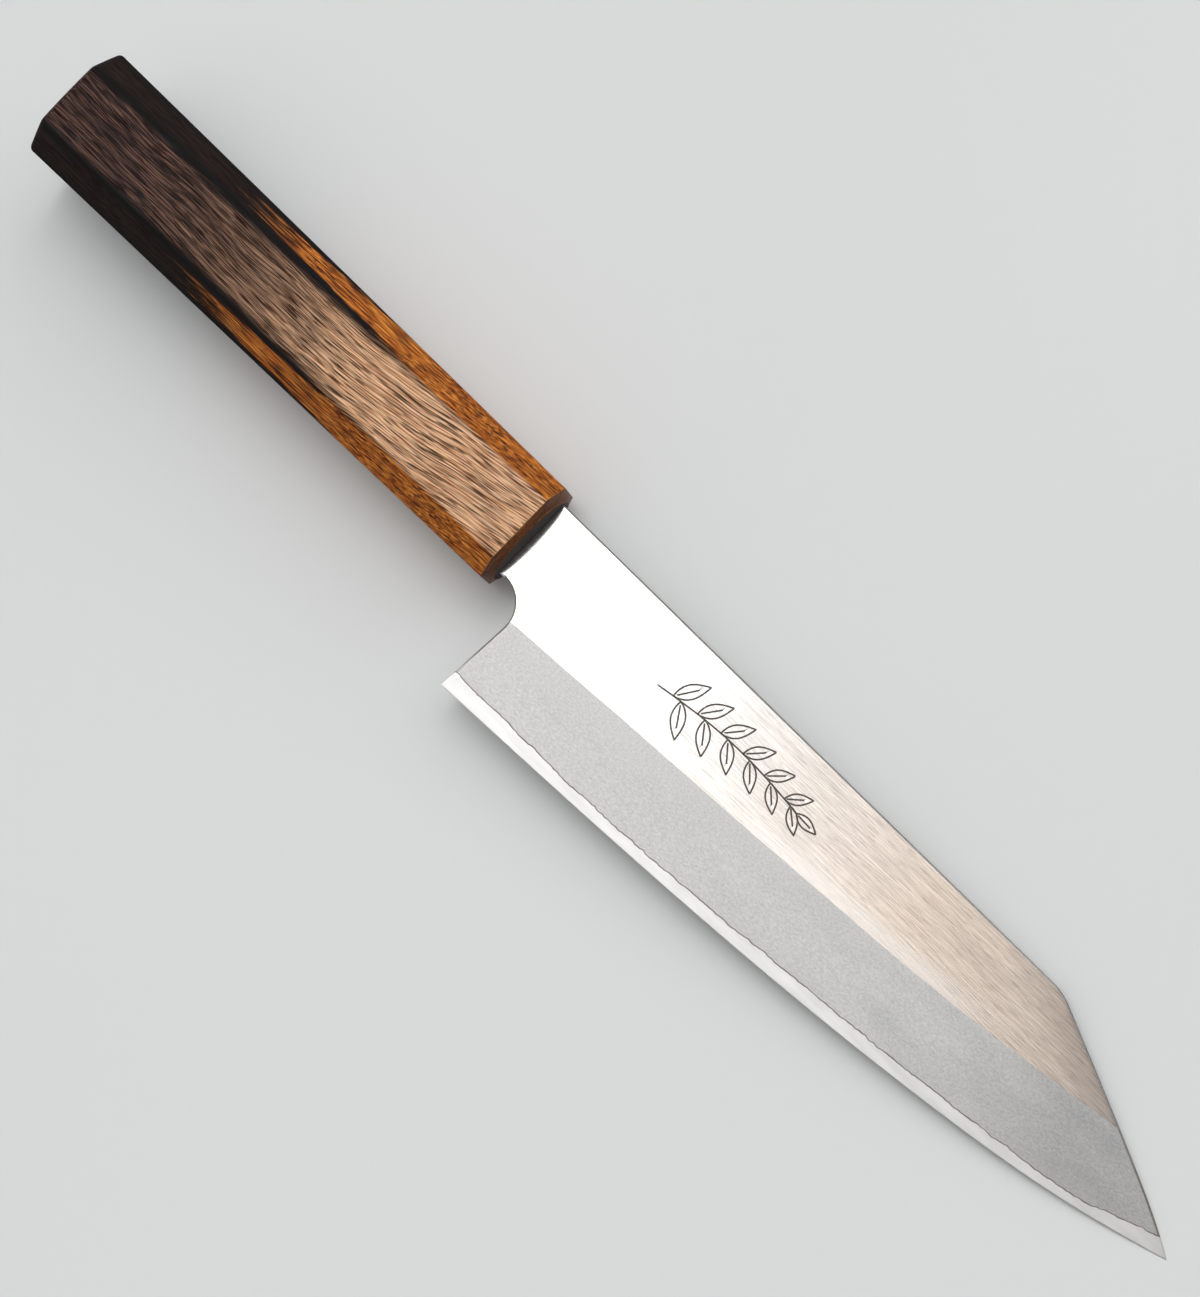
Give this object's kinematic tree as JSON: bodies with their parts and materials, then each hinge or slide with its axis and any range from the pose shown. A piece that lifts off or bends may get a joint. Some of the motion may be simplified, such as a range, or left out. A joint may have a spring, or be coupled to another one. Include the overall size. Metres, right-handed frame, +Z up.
{
  "type": "chef knife",
  "caption": "Kitchen knife with an angled-tip layered steel blade and an octagonal burnt-wood handle, lying on its side.",
  "frame": {"origin": "centre of the footprint of the knife lying on its side, at the height of the surface it rests on", "axes": "+X from the handle towards the tip, +Y from the cutting edge towards the spine, +Z up, out of the blade's upper side; the nose is 3 degrees down, as the knife comes to rest"},
  "size_m": [0.32, 0.047, 0.0271],
  "materials": {
    "cladding_steel": "flat sides brushed lengthwise, wide bevels matt",
    "core_steel": "fine bright ground strip along the edge",
    "burnt_oak": "charred dark at the butt, fading to brown oak, oiled, satin",
    "mouth_resin": "dark sealing resin",
    "adhesive": "cured epoxy, hidden"
  },
  "bodies": {
    "root": {"blade_core": "core_steel", "cladding_upper": "cladding_steel", "cladding_lower": "cladding_steel", "handle": "burnt_oak", "mouth_seal": "mouth_resin", "tang_adhesive": "adhesive"}
  },
  "joints": []
}
